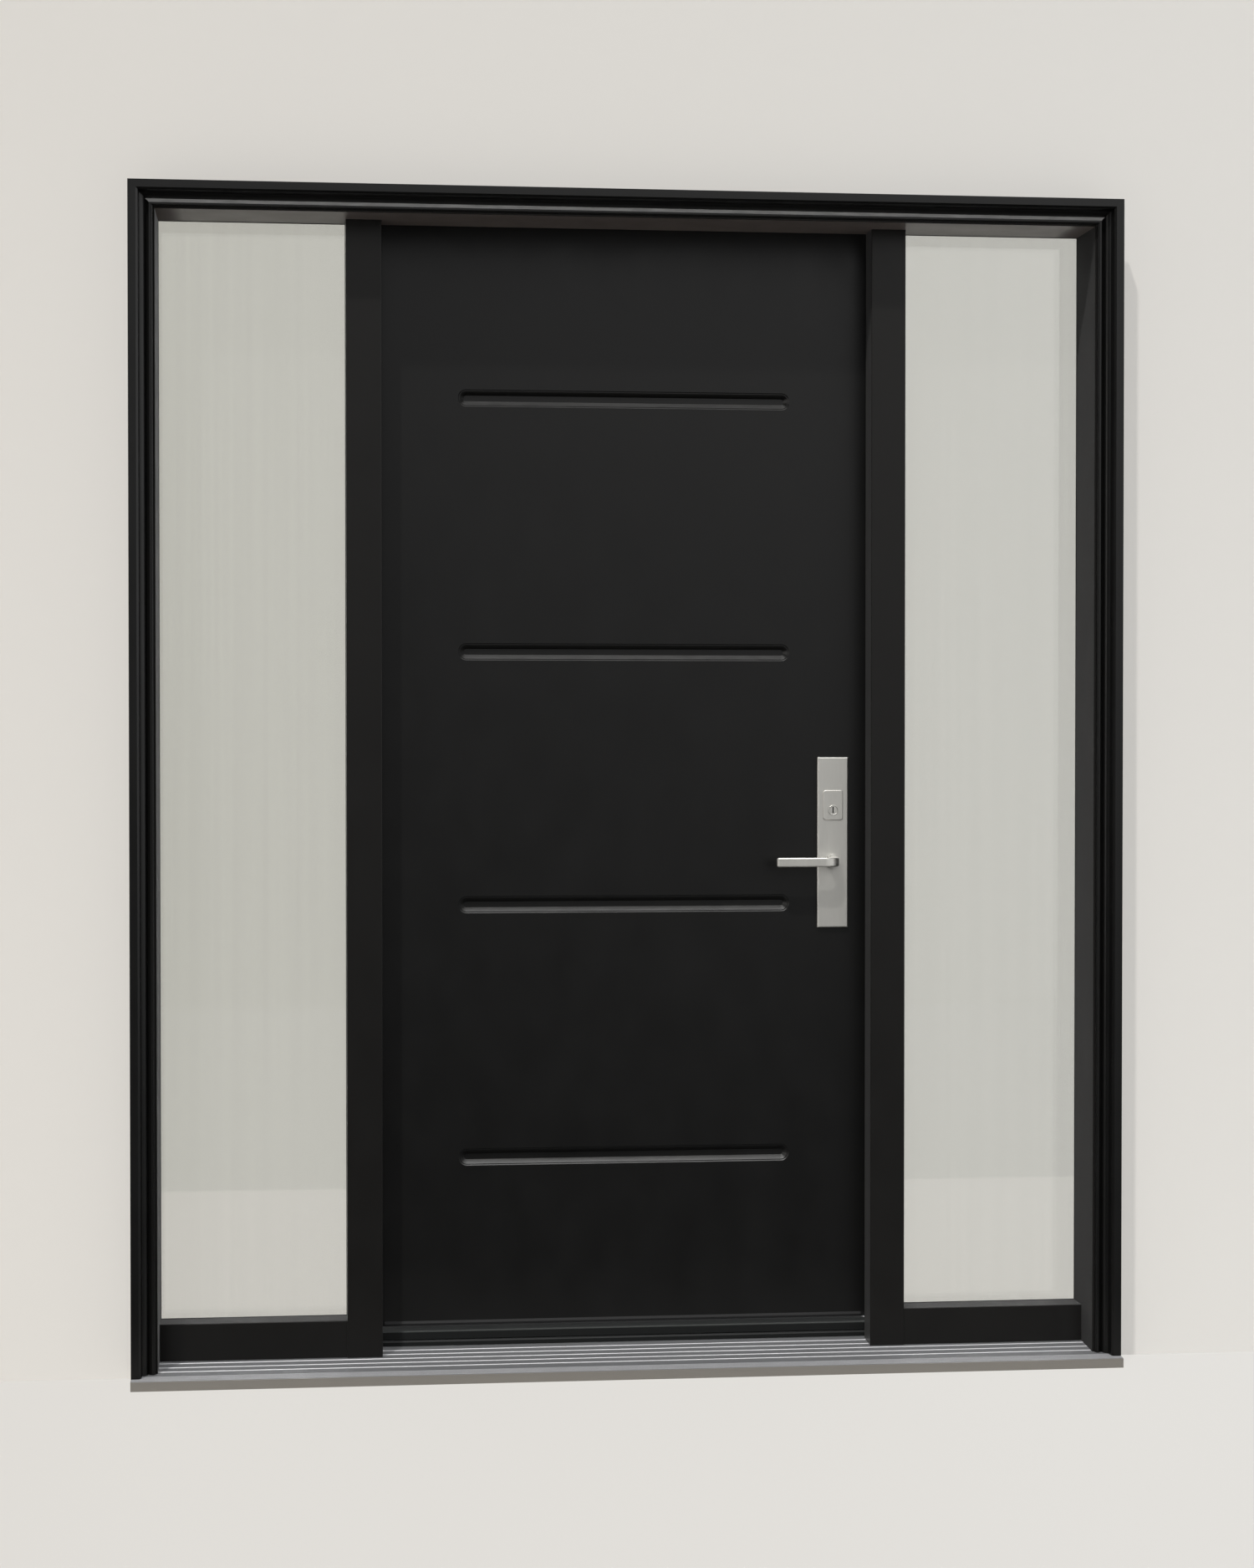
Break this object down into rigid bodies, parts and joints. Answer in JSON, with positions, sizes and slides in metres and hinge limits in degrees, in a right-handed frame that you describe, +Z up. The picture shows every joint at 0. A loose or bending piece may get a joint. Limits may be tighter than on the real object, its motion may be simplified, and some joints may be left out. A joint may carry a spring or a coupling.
{
  "type": "entrance door with sidelights",
  "caption": "Black grooved inswing entrance door with a lever lock set, between fixed glazed sidelights in one moulded frame on a ribbed sill.",
  "frame": {"origin": "middle of the sill's underside, in the wall plane where the casing's back meets the jambs' front edges", "axes": "+X to the right seen from outside, +Y into the building, +Z up"},
  "size_m": [1.782, 0.2878, 2.1184],
  "materials": {
    "black_frame": "satin black paint",
    "black_casing": "satin black paint",
    "black_door": "satin black paint",
    "glass": "clear float glass",
    "spacer": "dull warm-edge spacer",
    "mill_aluminium": "mill finish, ribbed",
    "sill_substrate": "composite substrate",
    "dark_threshold": "dark bronze grey",
    "black_rubber": "matt",
    "satin_nickel": "satin nickel",
    "foam": "insulating foam"
  },
  "bodies": {
    "frame": {"head_jamb": "black_frame", "left_mullion": "black_frame", "right_mullion": "black_frame", "left_jamb": "black_frame", "right_jamb": "black_frame", "left_sidelight_bottom_rail": "black_frame", "right_sidelight_bottom_rail": "black_frame", "left_sidelight_glazing_beads": "black_frame", "right_sidelight_glazing_beads": "black_frame", "head_casing": "black_casing", "left_casing": "black_casing", "right_casing": "black_casing", "left_sidelight_outer_pane": "glass", "left_sidelight_inner_pane": "glass", "right_sidelight_outer_pane": "glass", "right_sidelight_inner_pane": "glass", "left_sidelight_glass_spacer": "spacer", "right_sidelight_glass_spacer": "spacer", "sill_deck": "mill_aluminium", "sill_core": "sill_substrate", "threshold_base": "dark_threshold", "threshold_cap": "dark_threshold", "hinge_side_seal": "black_rubber", "lock_side_seal": "black_rubber", "head_seal": "black_rubber", "upper_hinge_frame_leaf": "satin_nickel", "middle_hinge_frame_leaf": "satin_nickel", "lower_hinge_frame_leaf": "satin_nickel", "strike_plate": "satin_nickel"},
    "door": {"exterior_skin": "black_door", "interior_skin": "black_door", "hinge_stile": "black_door", "lock_stile": "black_door", "door_top_rail": "black_door", "door_bottom_rail": "black_door", "door_core": "foam", "door_sweep": "black_rubber", "exterior_plate": "satin_nickel", "interior_plate": "satin_nickel", "cylinder_cover": "satin_nickel", "lock_faceplate": "satin_nickel", "latch_bolt": "satin_nickel", "dead_bolt": "satin_nickel", "upper_hinge_door_leaf": "satin_nickel", "middle_hinge_door_leaf": "satin_nickel", "lower_hinge_door_leaf": "satin_nickel"},
    "lever_set": {"exterior_lever": "satin_nickel", "interior_lever": "satin_nickel"},
    "lock_cylinder": {"key_plug": "satin_nickel", "thumbturn": "satin_nickel"}
  },
  "joints": [
    {"name": "door_swing", "type": "hinge", "parent": "frame", "child": "door", "pos_m": [-0.4595, 0.19, 1], "axis": [0, 0, 1], "range_deg": [0, 110]},
    {"name": "lever_turn", "type": "hinge", "parent": "door", "child": "lever_set", "pos_m": [0.387, 0.13, 0.915], "axis": [0, -1, 0], "range_deg": [0, 45], "stiffness_Nm_per_rad": 1.2},
    {"name": "cylinder_turn", "type": "hinge", "parent": "door", "child": "lock_cylinder", "pos_m": [0.387, 0.13, 1.01], "axis": [0, 1, 0], "range_deg": [0, 90]}
  ]
}
